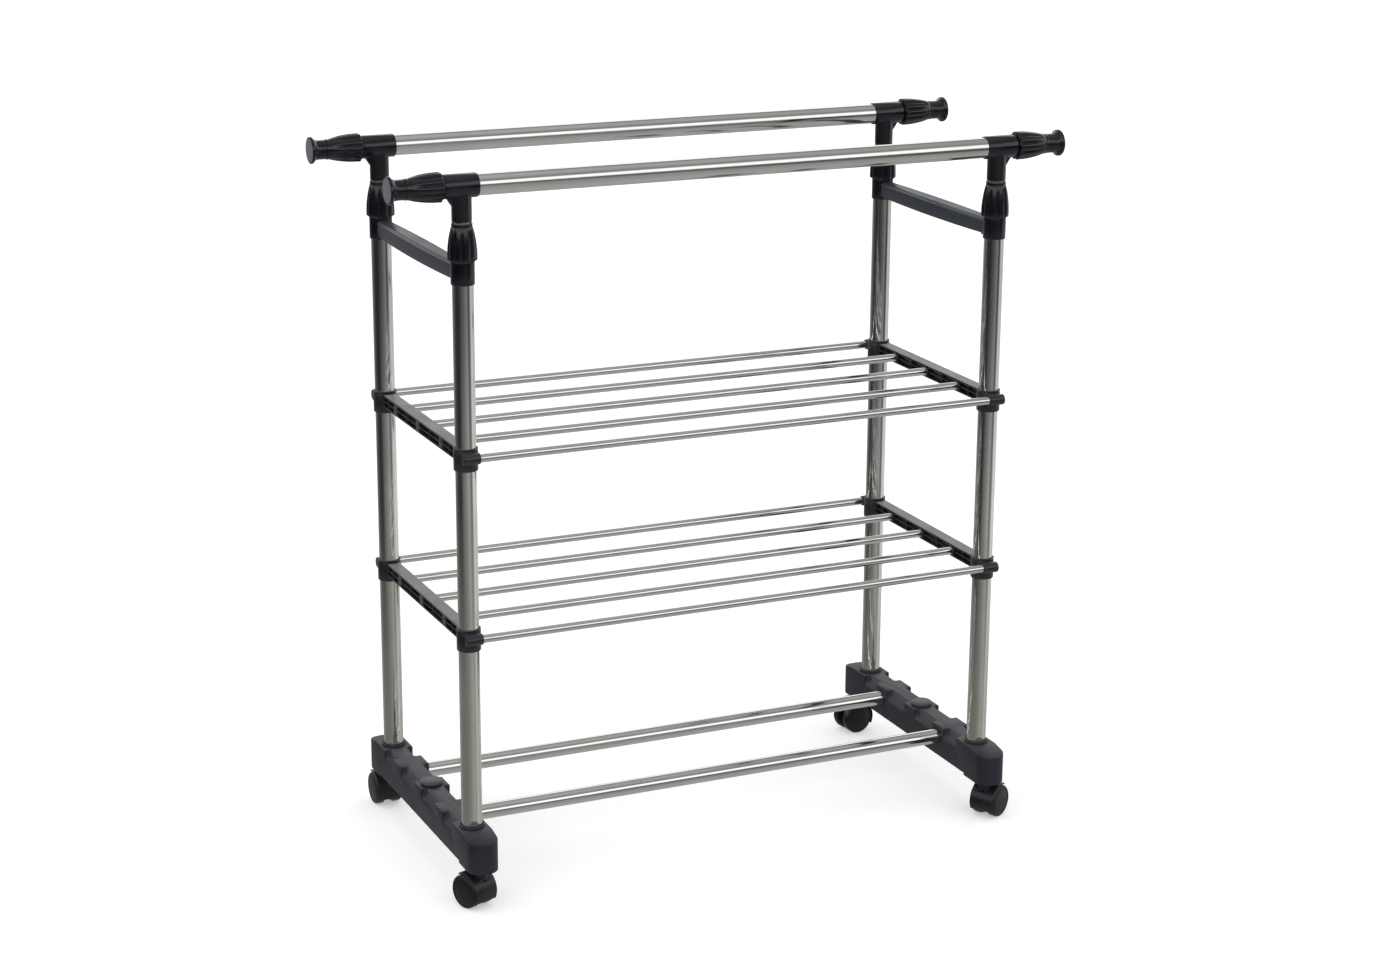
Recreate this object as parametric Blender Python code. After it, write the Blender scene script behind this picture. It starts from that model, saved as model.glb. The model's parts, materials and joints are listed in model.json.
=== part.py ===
"""A rolling clothes rack: two castered base beams, four posts, two slatted shelves, two side
handles, and two hanging rails that lift on inner posts and lengthen with extension rods.

Metres, +Z up, +X along the rails. The origin is on the floor, midway between the four posts.
"""

import math

import bmesh
import bpy
from mathutils import Matrix, Vector

# Overall layout
POST_SPACING = 0.695  # X, left post axis to right post axis
POST_SPREAD = 0.292  # Y, front post axis to back post axis
RAIL_HEIGHT = 0.8715  # rail axis above the floor, lowered
SHELF_HEIGHTS = {"lower": 0.3365, "upper": 0.5565}  # rod axes

# Tubes: outside diameter, wall
POST_TUBE = (0.025, 0.001)
INNER_TUBE = (0.019, 0.001)
CROSS_TUBE = (0.019, 0.001)
SHELF_ROD = (0.010, 0.0008)

# Motion
LIFT_TRAVEL = 0.600
EXTENSION_TRAVEL = 0.300
TUBE_OVERLAP = 0.040  # least length of inner tube left in its outer tube
TUBE_REACH = 0.005  # least gap between an inner tube and whatever stops it

# Casters
WHEEL_DIAMETER = 0.042  # across the flats of the wheel's facets
WHEEL_WIDTH = 0.012
WHEEL_GAP = 0.0115  # between the two wheels of a caster
WHEEL_EDGE = (0.002, 0.0035)  # bevel inside, bevel outside
AXLE_DIAMETER = 0.006
CASTER_TRAIL = 0.013  # wheel axle to swivel axis
CASTER_INSET = 0.022  # swivel axis to the end of the beam
CASTER_HEIGHT = 0.009  # from the top of the wheel to the beam
CASTER_WEB = 0.0095
CASTER_HUB = 0.004  # web left around the axle
CASTER_FENDER = 0.0018
FENDER_ARC = (-26, 112)  # degrees up from the swivel side
CASTER_NECK = 0.017
CASTER_PIN = (0.010, 0.022)  # diameter, length inside the beam
CASTER_TURN = {
    ("front", "left"): -69,
    ("front", "right"): -150,
    ("back", "left"): -90,
    ("back", "right"): 7,
}

# Base beams
BEAM_LENGTH = 0.392
BEAM_WIDTH = 0.038
BEAM_END_BOTTOM = WHEEL_DIAMETER + CASTER_HEIGHT
BEAM_MID_BOTTOM = BEAM_END_BOTTOM + 0.003
BEAM_TOP = BEAM_END_BOTTOM + 0.0445
BEAM_TIP_TOP = BEAM_TOP - 0.006
BEAM_CORNER = 0.016
BEAM_RIDGE = 0.020  # width of the flat top between the chamfers
BEAM_SHOULDER = 0.014  # how far the chamfers reach down
BEAM_STEP = 0.003  # how far the raised underside runs past the posts
TUBE_WALL = 0.0045  # plastic around a tube end
POST_LIP = (POST_TUBE[0] + 0.006, 0.0025)  # diameter, height above the beam
POST_BOTTOM = BEAM_END_BOTTOM + 0.012
CROSS_TUBE_HEIGHT = BEAM_END_BOTTOM + 0.0295
CROSS_TUBE_SPREAD = 0.156
CROSS_TUBE_DEPTH = 0.015  # how deep a cross tube sits in its beam
CAP_DIAMETER = 0.028
CAP_HEIGHT = 0.0055
CAP_EDGE = 0.001
CAP_PEG = (0.008, 0.008)  # diameter, length

# Shelf brackets
COLLAR_DIAMETER = POST_TUBE[0] + 0.004
COLLAR_BELOW = 0.017
COLLAR_ABOVE = 0.010
BRACKET_BAR = (0.016, SHELF_ROD[0] + 0.006)  # width, height
LUG = (SHELF_ROD[0] + 0.0035, 0.021)  # diameter, length
ROD_OFFSET = POST_TUBE[0] / 2 + SHELF_ROD[0] / 2 + 0.0005  # outer shelf rods, from the post axis
MID_RODS = 3
RIB_WIDTH = SHELF_ROD[0] + 0.004  # solid bar left around each rod end
POCKET = (0.004, 0.009)  # depth, height
POCKET_MARGIN = 0.002  # solid bar left beside a collar

# Handles
HANDLE_COLLAR = (POST_TUBE[0] + 0.003, 0.027)  # diameter, height
HANDLE_BAR_HEIGHT = 0.020
HANDLE_END_WIDTH = 0.016
HANDLE_MIDDLE_WIDTH = 0.023
HANDLE_STEPS = 6
HANDLE_HEIGHT = RAIL_HEIGHT - 0.113  # underside of the handle collars

# Twist locks, T fittings and end caps
NUT_LENGTH = 0.0435
NUT_WIDE = POST_TUBE[0] + 0.0095
NUT_NECK = INNER_TUBE[0] + 0.0055
NUT_SEAT = 0.021  # depth of a lock's wide bore, over the outer tube's end
NUT_SHOULDER = (0.42, 0.70, 0.90)  # shares of the length: wide end stops, halfway, neck starts
NUT_RIM = (0.0015, 0.001)
NUT_RIB_DEPTH = 0.0011
NUT_RIBS = 10
SEAT_GAP = 0.002  # between an outer tube's end and the bottom of the lock's wide bore
TEE_BARREL = POST_TUBE[0] + 0.003
TEE_STEM = INNER_TUBE[0] + 0.0044
TEE_OUTER = 0.024  # T barrel end, outward from the post axis
TEE_INNER = 0.0185
TEE_GAP = 0.0015  # bare tube between a lock and its T
TEE_GUSSET = (0.009, 0.006)  # side, thickness
END_SLEEVE = (INNER_TUBE[0] + 0.0045, 0.0155)  # diameter, length
END_DISC = (INNER_TUBE[0] + 0.0135, 0.0045)
END_FLARE = 0.002  # length of the sleeve's flare into the disc
END_EDGE = 0.001

# Fits
FIT = 0.0003  # gap between pieces that touch
BORE_FIT = 0.0002  # least radial gap of a tube in its bore
RUN = 0.0008  # gap beside a wheel

SEGMENTS = 16
ROD_SEGMENTS = 10
ARC_STEPS = 4
FENDER_STEPS = 10
OVER = 0.004  # how far a cutter passes its face
WELD = 0.000003  # points closer than this are one
EDGE_ANGLE = 35  # degrees; shading breaks at sharper edges

HALF_X = POST_SPACING / 2
HALF_Y = POST_SPREAD / 2
SIDES = {"left": -1, "right": 1}
ROWS = {"front": -1, "back": 1}


def bore_radius(diameter, segments=SEGMENTS):
    """Radius of a faceted bore whose flats clear a round tube of this diameter."""
    return (diameter / 2 + BORE_FIT) / math.cos(math.pi / segments)


def mesh_of(bm):
    """A closed mesh from bmesh geometry, with its faces pointing out."""
    bmesh.ops.remove_doubles(bm, verts=bm.verts, dist=1e-7)
    bmesh.ops.recalc_face_normals(bm, faces=bm.faces)
    mesh = bpy.data.meshes.new("solid")
    bm.to_mesh(mesh)
    bm.free()
    return mesh


def moved(mesh, x=0.0, y=0.0, z=0.0, turn=None):
    """A copy of the mesh, turned by a matrix and then shifted."""
    copy = mesh.copy()
    copy.transform(Matrix.Translation((x, y, z)) @ (turn or Matrix.Identity(4)))
    return copy


def turned(profile, segments=SEGMENTS, ribs=0, rib_rows=(), rib_depth=0.0):
    """A profile of (radius, height) points, spun about Z from a flat facet at its underside.

    A profile that doesn't start and end on the axis is a closed loop, so it gives a ring. With
    ribs, every second column of the rib rows moves in by the rib depth.
    """
    bm = bmesh.new()
    points = [bm.verts.new((radius, 0, height)) for radius, height in profile]
    edges = [bm.edges.new(pair) for pair in zip(points, points[1:])]
    if profile[0][0] > 0:
        edges.append(bm.edges.new((points[-1], points[0])))
    step = 2 * math.pi / segments
    bmesh.ops.rotate(bm, verts=bm.verts, matrix=Matrix.Rotation(step / 2, 3, "Z"))
    bmesh.ops.spin(
        bm, geom=points + edges, axis=(0, 0, 1), cent=(0, 0, 0), steps=segments, angle=2 * math.pi
    )
    bmesh.ops.remove_doubles(bm, verts=bm.verts, dist=1e-7)
    for vert in bm.verts if ribs else ():
        radius = math.hypot(vert.co.x, vert.co.y)
        column = round((math.atan2(vert.co.y, vert.co.x) / step) - 0.5)
        on_row = any(
            abs(radius - profile[row][0]) < 1e-6 and abs(vert.co.z - profile[row][1]) < 1e-6
            for row in rib_rows
        )
        if on_row and column % 2:
            vert.co.xy *= (radius - rib_depth) / radius
    return mesh_of(bm)


def rod(diameter, low, high, segments=SEGMENTS):
    """A solid round bar along Z."""
    radius = diameter / 2
    return turned([(0, low), (radius, low), (radius, high), (0, high)], segments)


def tube(size, length, segments=SEGMENTS):
    """A round tube along Z, centred on the origin."""
    outer = size[0] / 2
    inner = outer - size[1]
    half = length / 2
    return turned([(outer, half), (outer, -half), (inner, -half), (inner, half)], segments)


def prism(outline, low, high, turn=None):
    """An outline in XY, pulled up from low to high, then turned by a matrix."""
    bm = bmesh.new()
    face = bm.faces.new([bm.verts.new((x, y, low)) for x, y in outline])
    top = bmesh.ops.extrude_face_region(bm, geom=[face])["geom"]
    rise = Vector((0, 0, high - low))
    bmesh.ops.translate(bm, verts=[v for v in top if isinstance(v, bmesh.types.BMVert)], vec=rise)
    if turn:
        bmesh.ops.transform(bm, matrix=turn, verts=bm.verts)
    return mesh_of(bm)


def box(low, high):
    """A block between two corners."""
    (left, front, bottom), (right, back, top) = low, high
    return prism([(left, front), (right, front), (right, back), (left, back)], bottom, top)


def rounded_rectangle(width, length, radius):
    """The outline of a rectangle centred on the origin, with an arc at each corner."""
    points = []
    for quarter, (sx, sy) in enumerate(((1, 1), (-1, 1), (-1, -1), (1, -1))):
        for i in range(ARC_STEPS + 1):
            angle = math.pi / 2 * (quarter + i / ARC_STEPS)
            x = sx * (width / 2 - radius) + radius * math.cos(angle)
            y = sy * (length / 2 - radius) + radius * math.sin(angle)
            points.append((x, y))
    return points


def combined(mesh, tools, operation):
    """The mesh with each tool mesh in turn joined to it or cut from it."""
    for tool in tools:
        body = bpy.data.objects.new("body", mesh)
        helper = bpy.data.objects.new("tool", tool)
        for obj in (body, helper):
            bpy.context.scene.collection.objects.link(obj)
        modifier = body.modifiers.new(operation.lower(), "BOOLEAN")
        modifier.operation = operation
        modifier.object = helper
        graph = bpy.context.evaluated_depsgraph_get()
        bm = bmesh.new()
        bm.from_mesh(body.evaluated_get(graph).data)
        bmesh.ops.remove_doubles(bm, verts=bm.verts, dist=WELD)
        bmesh.ops.dissolve_degenerate(bm, edges=bm.edges, dist=WELD)
        mesh = mesh_of(bm)
        bpy.data.objects.remove(body)
        bpy.data.objects.remove(helper)
    return mesh


def joined(mesh, *tools):
    return combined(mesh, tools, "UNION")


def cut(mesh, *tools):
    return combined(mesh, tools, "DIFFERENCE")


ALONG_X = Matrix.Rotation(math.pi / 2, 4, "Y")  # turns a Z axis to +X
ALONG_Y = Matrix.Rotation(-math.pi / 2, 4, "X")  # turns a Z axis to +Y
HALF_TURN = Matrix.Rotation(math.pi, 4, "Z")
YZ_TO_X = Matrix(((0, 0, 1, 0), (1, 0, 0, 0), (0, 1, 0, 0), (0, 0, 0, 1)))  # outline XY becomes YZ
XZ_TO_Y = Matrix(((1, 0, 0, 0), (0, 0, 1, 0), (0, 1, 0, 0), (0, 0, 0, 1)))  # outline XY becomes XZ


def material(name, color, roughness, metallic):
    result = bpy.data.materials.new(name)
    result.use_nodes = True
    shader = result.node_tree.nodes["Principled BSDF"]
    shader.inputs["Base Color"].default_value = (*color, 1)
    shader.inputs["Roughness"].default_value = roughness
    shader.inputs["Metallic"].default_value = metallic
    result.diffuse_color = (*color, 1)
    return result


FINISHES = {
    "chrome": ((0.72, 0.72, 0.70), 0.12, 1.0),
    "slate_plastic": ((0.045, 0.052, 0.065), 0.55, 0.0),
    "black_gloss": ((0.008, 0.009, 0.013), 0.22, 0.0),
    "cap_plastic": ((0.050, 0.055, 0.060), 0.45, 0.0),
    "wheel_plastic": ((0.012, 0.013, 0.015), 0.40, 0.0),
    "end_plastic": ((0.060, 0.064, 0.072), 0.35, 0.0),
}


def node(name, mesh, finish, location=(0, 0, 0), rotation=(0, 0, 0), parent=None):
    """A named piece with its own material, placed by its object's location and rotation."""
    obj = bpy.data.objects.new(name, mesh.copy())
    bpy.context.scene.collection.objects.link(obj)
    obj.data.name = name
    obj.data.materials.clear()
    obj.data.materials.append(material(name, *FINISHES[finish]))
    obj.data.shade_smooth()
    obj.data.set_sharp_from_angle(angle=math.radians(EDGE_ANGLE))
    obj.parent = parent
    obj.location = location
    obj.rotation_euler = rotation
    return obj


def empty(name, location=(0, 0, 0), rotation=(0, 0, 0)):
    obj = bpy.data.objects.new(name, None)
    bpy.context.scene.collection.objects.link(obj)
    obj.location = location
    obj.rotation_euler = rotation
    return obj


# Base ------------------------------------------------------------------------------------------

SWIVEL_Y = BEAM_LENGTH / 2 - CASTER_INSET
CROSS_END = HALF_X - BEAM_WIDTH / 2 + CROSS_TUBE_DEPTH


def beam_mesh():
    """A beam along Y whose cross-tube sockets face +X."""
    half_width = BEAM_WIDTH / 2
    half_length = BEAM_LENGTH / 2
    outline = rounded_rectangle(BEAM_WIDTH, BEAM_LENGTH, BEAM_CORNER)
    body = prism(outline, BEAM_END_BOTTOM, BEAM_TOP)
    lip = rod(POST_LIP[0], BEAM_TOP - OVER, BEAM_TOP + POST_LIP[1])
    lips = [moved(lip, y=row * HALF_Y) for row in ROWS.values()]
    trims = []

    # Chamfers run between the cap boss, the cross-tube blocks and the end blocks.
    tube_block = CROSS_TUBE[0] / 2 + TUBE_WALL
    end_block = HALF_Y - POST_LIP[0] / 2 - TUBE_WALL
    runs = [
        (CAP_DIAMETER / 2, CROSS_TUBE_SPREAD / 2 - tube_block),
        (CROSS_TUBE_SPREAD / 2 + tube_block, end_block),
    ]
    slope = Vector((half_width - BEAM_RIDGE / 2, -BEAM_SHOULDER)).normalized() * OVER
    inner = Vector((BEAM_RIDGE / 2, BEAM_TOP)) - slope
    outer = Vector((half_width, BEAM_TOP - BEAM_SHOULDER)) + slope
    far = half_width + 2 * OVER
    wedge = [inner, outer, (far, outer.y), (far, inner.y)]
    for start, end in runs:
        right = prism(wedge, start, end, XZ_TO_Y)
        for flip_x in (1, -1):
            for flip_y in (1, -1):
                trims.append(moved(right, turn=Matrix.Diagonal((flip_x, flip_y, 1, 1))))

    # The end blocks fall away towards their tips, and the middle is a step higher below.
    slope_start = HALF_Y + POST_LIP[0] / 2
    fall = (BEAM_TOP - BEAM_TIP_TOP) / (half_length - slope_start)
    tip = half_length + OVER
    tip_outline = [
        (slope_start, BEAM_TOP),
        (tip, BEAM_TOP - fall * (tip - slope_start)),
        (tip, BEAM_TOP + OVER),
        (slope_start - OVER, BEAM_TOP + OVER),
        (slope_start - OVER, BEAM_TOP + fall * OVER),
    ]
    tip_cut = prism(tip_outline, -far, far, YZ_TO_X)
    trims += [tip_cut, moved(tip_cut, turn=HALF_TURN)]
    step = HALF_Y + BEAM_STEP
    trims.append(box((-far, -step, BEAM_END_BOTTOM - OVER), (far, step, BEAM_MID_BOTTOM)))

    # Sockets for the posts, casters, cross tubes and the cap's peg.
    post_hole = rod(2 * bore_radius(POST_TUBE[0]), POST_BOTTOM - FIT, BEAM_TOP + 2 * OVER)
    pin_top = BEAM_END_BOTTOM + CASTER_PIN[1] + FIT
    pin_hole = rod(2 * bore_radius(CASTER_PIN[0]), BEAM_END_BOTTOM - OVER, pin_top)
    tube_hole = rod(2 * bore_radius(CROSS_TUBE[0]), HALF_X - CROSS_END - FIT, half_width + OVER)
    sockets = []
    for row in ROWS.values():
        sockets.append(moved(post_hole, y=row * HALF_Y))
        sockets.append(moved(pin_hole, y=row * SWIVEL_Y))
        y = row * CROSS_TUBE_SPREAD / 2
        sockets.append(moved(tube_hole, y=y, z=CROSS_TUBE_HEIGHT, turn=ALONG_X))
    sockets.append(rod(CAP_PEG[0] + 2 * FIT, BEAM_TOP - CAP_PEG[1] - FIT, BEAM_TOP + OVER))
    return cut(joined(cut(body, *trims), *lips), *sockets)


def cap_mesh():
    """A domed button about Z, standing on height 0 with its peg below."""
    radius = CAP_DIAMETER / 2
    peg = CAP_PEG[0] / 2
    profile = [
        (0, -CAP_PEG[1]),
        (peg, -CAP_PEG[1]),
        (peg, FIT),
        (radius - CAP_EDGE, FIT),
        (radius, FIT + CAP_EDGE),
        (radius, 0.6 * CAP_HEIGHT),
        (0.85 * radius, 0.85 * CAP_HEIGHT),
        (0, CAP_HEIGHT),
    ]
    return turned(profile)


def wheel_mesh():
    """Two wheels and their axle about Z, as one turned piece."""
    radius = WHEEL_DIAMETER / 2 / math.cos(math.pi / SEGMENTS)
    outside = WHEEL_GAP / 2 + WHEEL_WIDTH
    inner_edge, outer_edge = WHEEL_EDGE
    upper = [
        (AXLE_DIAMETER / 2, WHEEL_GAP / 2),
        (radius - inner_edge, WHEEL_GAP / 2),
        (radius, WHEEL_GAP / 2 + inner_edge),
        (radius, outside - outer_edge),
        (radius - outer_edge, outside - 0.0005),
        (0, outside),
    ]
    lower = [(r, -z) for r, z in reversed(upper)]
    return turned(lower + upper)


def hood_mesh():
    """A caster's web, fender, neck and pin. The swivel axis is Z and the axle is at -X."""
    axle_z = WHEEL_DIAMETER / 2
    wheel_radius = WHEEL_DIAMETER / 2 / math.cos(math.pi / SEGMENTS)
    inner = wheel_radius + RUN
    outer = inner + CASTER_FENDER
    start, end = (math.radians(angle) for angle in FENDER_ARC)
    angles = [start + (end - start) * i / FENDER_STEPS for i in range(FENDER_STEPS + 1)]
    arc = [(math.cos(angle), math.sin(angle)) for angle in angles]
    rim = [(outer * c - CASTER_TRAIL, outer * s + axle_z) for c, s in arc]
    under = [(inner * c - CASTER_TRAIL, inner * s + axle_z) for c, s in reversed(arc)]
    half_wide = WHEEL_GAP / 2 + WHEEL_WIDTH - 0.001
    fender = prism(rim + under, -half_wide, half_wide, XZ_TO_Y)
    web_radius = (inner + outer) / 2
    web_rim = [(web_radius * c, web_radius * s) for c, s in arc]
    hub = AXLE_DIAMETER / 2 + CASTER_HUB
    back = [(-hub, hub), (-hub * 1.2, -hub * 0.4), (-hub * 0.4, -hub * 1.2), (hub, -hub)]
    web_outline = [(x - CASTER_TRAIL, z + axle_z) for x, z in web_rim + back]
    web = prism(web_outline, -CASTER_WEB / 2, CASTER_WEB / 2, XZ_TO_Y)
    neck_top = BEAM_END_BOTTOM - 2 * FIT
    neck = rod(CASTER_NECK, axle_z + wheel_radius - OVER / 2, neck_top)
    pin = rod(CASTER_PIN[0], neck_top - OVER, BEAM_END_BOTTOM + CASTER_PIN[1])
    room = rod(2 * (inner + CASTER_FENDER / 2), CASTER_WEB / 2 + FIT, half_wide + OVER)
    rooms = [
        moved(room, x=-CASTER_TRAIL, z=axle_z, turn=ALONG_Y),
        moved(room, x=-CASTER_TRAIL, z=axle_z, turn=HALF_TURN @ ALONG_Y),
    ]
    axle = rod(2 * bore_radius(AXLE_DIAMETER), -CASTER_WEB, CASTER_WEB)
    axle_hole = moved(axle, x=-CASTER_TRAIL, z=axle_z, turn=ALONG_Y)
    swivel = cut(joined(neck, pin), *rooms)
    return cut(joined(fender, web, swivel), axle_hole)


def build_base(frame):
    beam = beam_mesh()
    cap = cap_mesh()
    hood = hood_mesh()
    wheels = wheel_mesh()
    tube_mesh = moved(tube(CROSS_TUBE, 2 * CROSS_END - 2 * FIT), turn=ALONG_X)
    post = tube(POST_TUBE, POST_TOP - POST_BOTTOM)
    for side, sx in SIDES.items():
        turn = (0, 0, 0 if sx < 0 else math.pi)
        node(f"base_beam_{side}", beam, "slate_plastic", (sx * HALF_X, 0, 0), turn, frame)
        node(f"base_cap_{side}", cap, "cap_plastic", (sx * HALF_X, 0, BEAM_TOP), parent=frame)
    for row, sy in ROWS.items():
        place = (0, sy * CROSS_TUBE_SPREAD / 2, CROSS_TUBE_HEIGHT)
        node(f"cross_tube_{row}", tube_mesh, "chrome", place, parent=frame)
        for side, sx in SIDES.items():
            place = (sx * HALF_X, sy * HALF_Y, (POST_TOP + POST_BOTTOM) / 2)
            node(f"post_{row}_{side}", post, "chrome", place, parent=frame)
            turn = math.radians(CASTER_TURN[row, side])
            swivel = empty(f"swivel_{row}_{side}", (sx * HALF_X, sy * SWIVEL_Y, 0), (0, 0, turn))
            node(f"caster_hood_{row}_{side}", hood, "slate_plastic", parent=swivel)
            place = (-CASTER_TRAIL, 0, WHEEL_DIAMETER / 2)
            lay = (math.pi / 2, 0, 0)
            node(f"caster_wheels_{row}_{side}", wheels, "wheel_plastic", place, lay, swivel)


# Shelves ---------------------------------------------------------------------------------------

OUTER_ROD_Y = HALF_Y + ROD_OFFSET
ROD_PITCH = 2 * OUTER_ROD_Y / (MID_RODS + 1)
ROD_YS = [-OUTER_ROD_Y + i * ROD_PITCH for i in range(MID_RODS + 2)]


def bracket_mesh():
    """A bracket along Y around the rod axes at height 0, with its rod sockets facing +X."""
    half = BRACKET_BAR[0] / 2
    low = -BRACKET_BAR[1] / 2
    high = BRACKET_BAR[1] / 2
    bar = box((-half, -HALF_Y, low), (half, HALF_Y, high))
    collar = rod(COLLAR_DIAMETER, -COLLAR_BELOW, COLLAR_ABOVE)
    lug = moved(rod(LUG[0], -LUG[1] / 2, LUG[1] / 2), turn=ALONG_X)
    post_hole = rod(2 * bore_radius(POST_TUBE[0]), -COLLAR_BELOW - OVER, COLLAR_ABOVE + OVER)
    rod_radius = bore_radius(SHELF_ROD[0], ROD_SEGMENTS)
    rod_hole = rod(2 * rod_radius, 0, LUG[1] / 2 + OVER, ROD_SEGMENTS)
    adds = []
    cuts = []
    for row in ROWS.values():
        adds.append(moved(collar, y=row * HALF_Y))
        adds.append(moved(lug, y=row * OUTER_ROD_Y))
        cuts.append(moved(post_hole, y=row * HALF_Y))
    for y in ROD_YS:
        cuts.append(moved(rod_hole, y=y, turn=ALONG_X))

    # Pockets hollow both sides of the bar between the solid ribs at the rods and collars.
    last = HALF_Y - COLLAR_DIAMETER / 2
    ends = [-last, *ROD_YS[1:-1], last]
    for before, after in zip(ends, ends[1:]):
        near = before + (RIB_WIDTH / 2 if before > ends[0] else POCKET_MARGIN)
        far = after - (RIB_WIDTH / 2 if after < ends[-1] else POCKET_MARGIN)
        for side in (1, -1):
            x = sorted((side * (half - POCKET[0]), side * (half + OVER)))
            z = POCKET[1] / 2
            cuts.append(box((x[0], near, -z), (x[1], far, z)))
    return cut(joined(bar, *adds), *cuts)


def build_shelves(frame):
    bracket = bracket_mesh()
    shelf_rod = moved(tube(SHELF_ROD, 2 * (HALF_X - FIT), ROD_SEGMENTS), turn=ALONG_X)
    names = ["front"] + [f"middle_{i + 1}" for i in range(MID_RODS)] + ["back"]
    for level, height in SHELF_HEIGHTS.items():
        for side, sx in SIDES.items():
            turn = (0, 0, 0 if sx < 0 else math.pi)
            name = f"{level}_bracket_{side}"
            node(name, bracket, "black_gloss", (sx * HALF_X, 0, height), turn, frame)
        for name, y in zip(names, ROD_YS):
            node(f"{level}_rod_{name}", shelf_rod, "chrome", (0, y, height), parent=frame)


# Handles ---------------------------------------------------------------------------------------


def handle_mesh():
    """A handle along Y, wider in the middle, between two collars that stand on height 0."""
    ys = [HALF_Y * (2 * i / HANDLE_STEPS - 1) for i in range(HANDLE_STEPS + 1)]
    swell = (HANDLE_MIDDLE_WIDTH - HANDLE_END_WIDTH) / 2
    widths = [HANDLE_END_WIDTH / 2 + swell * (1 - (y / HALF_Y) ** 2) for y in ys]
    right = list(zip(widths, ys))
    outline = right + [(-width, y) for width, y in reversed(right)]
    low = (HANDLE_COLLAR[1] - HANDLE_BAR_HEIGHT) / 2
    bar = prism(outline, low, low + HANDLE_BAR_HEIGHT)
    collar = rod(HANDLE_COLLAR[0], 0, HANDLE_COLLAR[1])
    hole = rod(2 * bore_radius(POST_TUBE[0]), -OVER, HANDLE_COLLAR[1] + OVER)
    collars = [moved(collar, y=row * HALF_Y) for row in ROWS.values()]
    holes = [moved(hole, y=row * HALF_Y) for row in ROWS.values()]
    return cut(joined(bar, *collars), *holes)


def build_handles(frame):
    handle = handle_mesh()
    for side, sx in SIDES.items():
        node(f"handle_{side}", handle, "black_gloss", (sx * HALF_X, 0, HANDLE_HEIGHT), parent=frame)


# Rails -----------------------------------------------------------------------------------------

NUT_BOTTOM = HANDLE_HEIGHT + HANDLE_COLLAR[1] + FIT
POST_TOP = NUT_BOTTOM + NUT_SEAT - SEAT_GAP
STEM_BOTTOM = NUT_BOTTOM + NUT_LENGTH + TEE_GAP
INNER_TOP = RAIL_HEIGHT - POST_TUBE[0] / 2 - 2 * FIT
INNER_BOTTOM = max(POST_TOP - LIFT_TRAVEL - TUBE_OVERLAP, POST_BOTTOM + TUBE_REACH)
NUT_X = HALF_X + TEE_OUTER + FIT
RAIL_END = NUT_X + NUT_SEAT - SEAT_GAP
SLEEVE_X = NUT_X + NUT_LENGTH + FIT
CAP_INSIDE = SLEEVE_X + END_SLEEVE[1]
EXTENSION_INNER = max(RAIL_END - EXTENSION_TRAVEL - TUBE_OVERLAP, TUBE_REACH)


def nut_mesh():
    """A twist lock about Z: ribbed and wide at height 0, with a plain neck at its far end."""
    wide = NUT_WIDE / 2
    neck = NUT_NECK / 2
    outer_bore = bore_radius(POST_TUBE[0])
    inner_bore = bore_radius(INNER_TUBE[0])
    profile = [
        (outer_bore, 0),
        (outer_bore, NUT_SEAT),
        (inner_bore, NUT_SEAT),
        (inner_bore, NUT_LENGTH),
        (neck, NUT_LENGTH),
        (neck, NUT_LENGTH * NUT_SHOULDER[2]),
        ((wide + neck) / 2, NUT_LENGTH * NUT_SHOULDER[1]),
        (wide, NUT_LENGTH * NUT_SHOULDER[0]),
        (wide, NUT_RIM[1]),
        (wide - NUT_RIM[0], 0),
    ]
    return turned(profile, 2 * NUT_RIBS, NUT_RIBS, (6, 7, 8), NUT_RIB_DEPTH)


def tee_mesh():
    """A T about the crossing of its axes, with its longer arm towards +X and its stem down."""
    barrel = moved(rod(TEE_BARREL, -TEE_INNER, TEE_OUTER), turn=ALONG_X)
    drop = STEM_BOTTOM - RAIL_HEIGHT
    stem = rod(TEE_STEM, drop, 0)
    side, thickness = TEE_GUSSET
    root = TEE_STEM / 2 - 0.001
    under = -TEE_BARREL / 2 + 0.001
    triangle = [(root, under), (root, under - side), (root + side, under)]
    gusset = prism(triangle, -thickness / 2, thickness / 2, XZ_TO_Y)
    rail_hole = rod(2 * bore_radius(POST_TUBE[0]), -TEE_INNER - OVER, TEE_OUTER + OVER)
    stem_hole = rod(2 * bore_radius(INNER_TUBE[0]), drop - OVER, 0)
    return cut(joined(barrel, stem, gusset), moved(rail_hole, turn=ALONG_X), stem_hole)


def end_cap_mesh():
    """An end cap about Z: a sleeve that starts at height 0, closed by a flared disc."""
    sleeve = END_SLEEVE[0] / 2
    disc = END_DISC[0] / 2
    inside = bore_radius(INNER_TUBE[0])
    top = END_SLEEVE[1] + END_DISC[1]
    profile = [
        (0, END_SLEEVE[1]),
        (inside, END_SLEEVE[1]),
        (inside, 0),
        (sleeve, 0),
        (sleeve, END_SLEEVE[1] - END_FLARE),
        (disc - END_EDGE, END_SLEEVE[1]),
        (disc, END_SLEEVE[1] + END_EDGE),
        (disc - END_EDGE, top - END_EDGE),
        (0, top),
    ]
    return turned(profile)


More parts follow.
